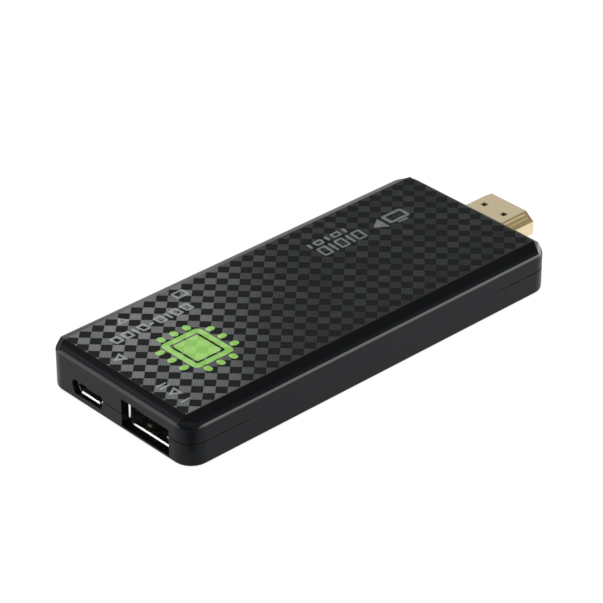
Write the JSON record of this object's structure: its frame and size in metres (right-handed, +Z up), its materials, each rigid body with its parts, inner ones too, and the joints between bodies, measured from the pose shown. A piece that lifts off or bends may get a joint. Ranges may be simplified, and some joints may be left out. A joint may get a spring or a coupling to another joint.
{
  "type": "stick computer",
  "caption": "Slim black stick computer: chamfered casing in halves, checked top label, gilt video plug at one end, data and power sockets at the other.",
  "frame": {"origin": "centre of the casing's flat bottom face", "axes": "+X towards the video plug, +Y towards the long side with the card slot, +Z up through the label"},
  "size_m": [0.1041, 0.0402, 0.0102],
  "materials": {
    "shell_plastic": "satin black moulded plastic",
    "label_sheet": "printed sheet with a grey and black check",
    "board": "green glass-cloth laminate",
    "gilt_metal": "pale gold plating",
    "socket_steel": "bright folded steel",
    "contact_gold": "gold-plated strip",
    "black_moulding": "black moulded plastic",
    "chip_resin": "matt chip resin",
    "pad_rubber": "soft grey-blue pad",
    "plate_aluminium": "brushed sheet",
    "screw_steel": "plain steel",
    "ceramic_body": "tan ceramic",
    "ferrite": "dark ferrite",
    "lens_plastic": "milky light cap",
    "switch_plastic": "ivory plastic"
  },
  "bodies": {
    "stick": {"board_screws": "screw_steel", "bottom_shell": "shell_plastic", "capacitors": "ceramic_body", "card_contacts": "contact_gold", "card_socket_base": "black_moulding", "card_socket_cover": "socket_steel", "card_spring": "screw_steel", "chip_antenna": "ceramic_body", "crystals": "socket_steel", "data_socket_contacts": "contact_gold", "data_socket_insulator": "black_moulding", "data_socket_shell": "socket_steel", "flash_chip": "chip_resin", "heat_spreader": "plate_aluminium", "host_socket_contacts": "contact_gold", "host_socket_insulator": "black_moulding", "host_socket_shell": "socket_steel", "main_board": "board", "memory_chips": "chip_resin", "power_inductors": "ferrite", "power_manager": "chip_resin", "power_socket_contacts": "contact_gold", "power_socket_insulator": "black_moulding", "power_socket_shell": "socket_steel", "processor": "chip_resin", "radio_board": "board", "radio_shield": "socket_steel", "recovery_dome": "screw_steel", "recovery_switch_body": "black_moulding", "recovery_switch_cover": "socket_steel", "resistors": "chip_resin", "status_led": "lens_plastic", "thermal_pad": "pad_rubber", "top_label": "label_sheet", "top_shell": "shell_plastic", "video_plug_contacts": "contact_gold", "video_plug_insulator": "black_moulding", "video_plug_shell": "gilt_metal"},
    "recovery_button": {"recovery_plunger": "switch_plastic"},
    "card_carriage": {"card_slider": "black_moulding"}
  },
  "joints": [
    {"name": "recovery_press", "type": "slide", "parent": "stick", "child": "recovery_button", "axis": [0, 0, 1], "range_m": [0, 0.00025], "stiffness_N_per_m": 1000, "springref_m": -0.001, "deforming": ["recovery_dome"]},
    {"name": "card_slide", "type": "slide", "parent": "stick", "child": "card_carriage", "axis": [0, -1, 0], "range_m": [0, 0.0012], "stiffness_N_per_m": 300, "springref_m": -0.002, "deforming": ["card_spring"]}
  ]
}
